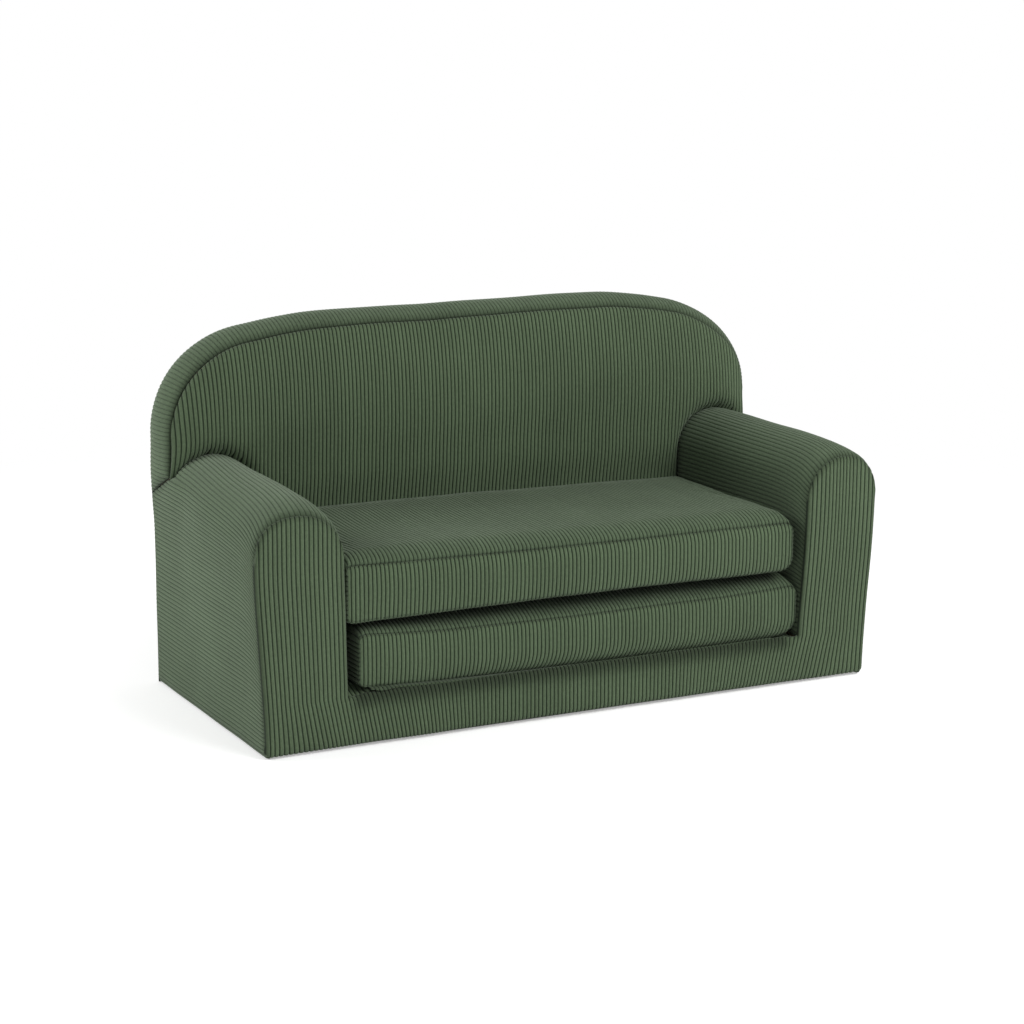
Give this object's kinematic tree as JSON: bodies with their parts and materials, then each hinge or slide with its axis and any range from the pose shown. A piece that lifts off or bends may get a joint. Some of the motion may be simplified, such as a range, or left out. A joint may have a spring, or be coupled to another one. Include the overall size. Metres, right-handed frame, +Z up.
{
  "type": "kids flip open sofa",
  "caption": "Children's foam sofa with rolled arms, an arched back and a folded seat that flips forward and unfolds into a floor mattress.",
  "frame": {"origin": "on the floor under the middle of the sofa's overall box", "axes": "+X along the sofa to the viewer's right, +Y from the front to the rear, +Z up; the front faces -Y"},
  "size_m": [0.81, 0.355, 0.44],
  "materials": {
    "corduroy": "wide-rib corduroy, green",
    "foam": "open-cell foam, cream",
    "non_slip_cloth": "thin black non-slip cloth",
    "zip_tape": "woven tape with a nylon coil, dark green",
    "zip_metal": "satin grey"
  },
  "bodies": {
    "body": {"underside_cloth": "non_slip_cloth", "base_foam": "foam", "back_foam": "foam", "left_arm_foam": "foam", "right_arm_foam": "foam", "left_arm_wrap": "corduroy", "right_arm_wrap": "corduroy", "front_panel": "corduroy", "base_deck_panel": "corduroy", "back_front_panel": "corduroy", "back_rear_panel": "corduroy", "back_border_band": "corduroy", "body_zip": "zip_tape", "front_hinge_web": "corduroy"},
    "lower_slab": {"lower_slab_foam": "foam", "lower_slab_top_cover": "corduroy", "lower_slab_bottom_cover": "corduroy", "lower_slab_front_panel": "corduroy", "lower_slab_rear_panel": "corduroy", "lower_slab_zip": "zip_tape"},
    "upper_slab": {"upper_slab_foam": "foam", "upper_slab_top_cover": "corduroy", "upper_slab_bottom_cover": "corduroy", "upper_slab_front_panel": "corduroy", "upper_slab_rear_panel": "corduroy", "upper_slab_zip": "zip_tape", "rear_hinge_web": "corduroy"},
    "body_zip_slider": {"body_zip_slider": "zip_metal"},
    "lower_slab_zip_slider": {"lower_slab_zip_slider": "zip_metal"},
    "upper_slab_zip_slider": {"upper_slab_zip_slider": "zip_metal"}
  },
  "joints": [
    {"name": "lower_slab_flip", "type": "hinge", "parent": "body", "child": "lower_slab", "pos_m": [0, -0.1755, 0.069], "axis": [1, 0, 0], "range_deg": [0, 180]},
    {"name": "upper_slab_unfold", "type": "hinge", "parent": "lower_slab", "child": "upper_slab", "pos_m": [0, 0.1008, 0.13575], "axis": [1, 0, 0], "range_deg": [-180, 0]},
    {"name": "body_zip_run", "type": "slide", "parent": "body", "child": "body_zip_slider", "axis": [1, 0, 0], "range_m": [0, 0.603]},
    {"name": "lower_slab_zip_run", "type": "slide", "parent": "lower_slab", "child": "lower_slab_zip_slider", "axis": [1, 0, 0], "range_m": [0, 0.423]},
    {"name": "upper_slab_zip_run", "type": "slide", "parent": "upper_slab", "child": "upper_slab_zip_slider", "axis": [1, 0, 0], "range_m": [0, 0.423]}
  ],
  "couplings": [
    {"joint": "upper_slab_unfold", "follows": "lower_slab_flip", "ratio": -1}
  ]
}
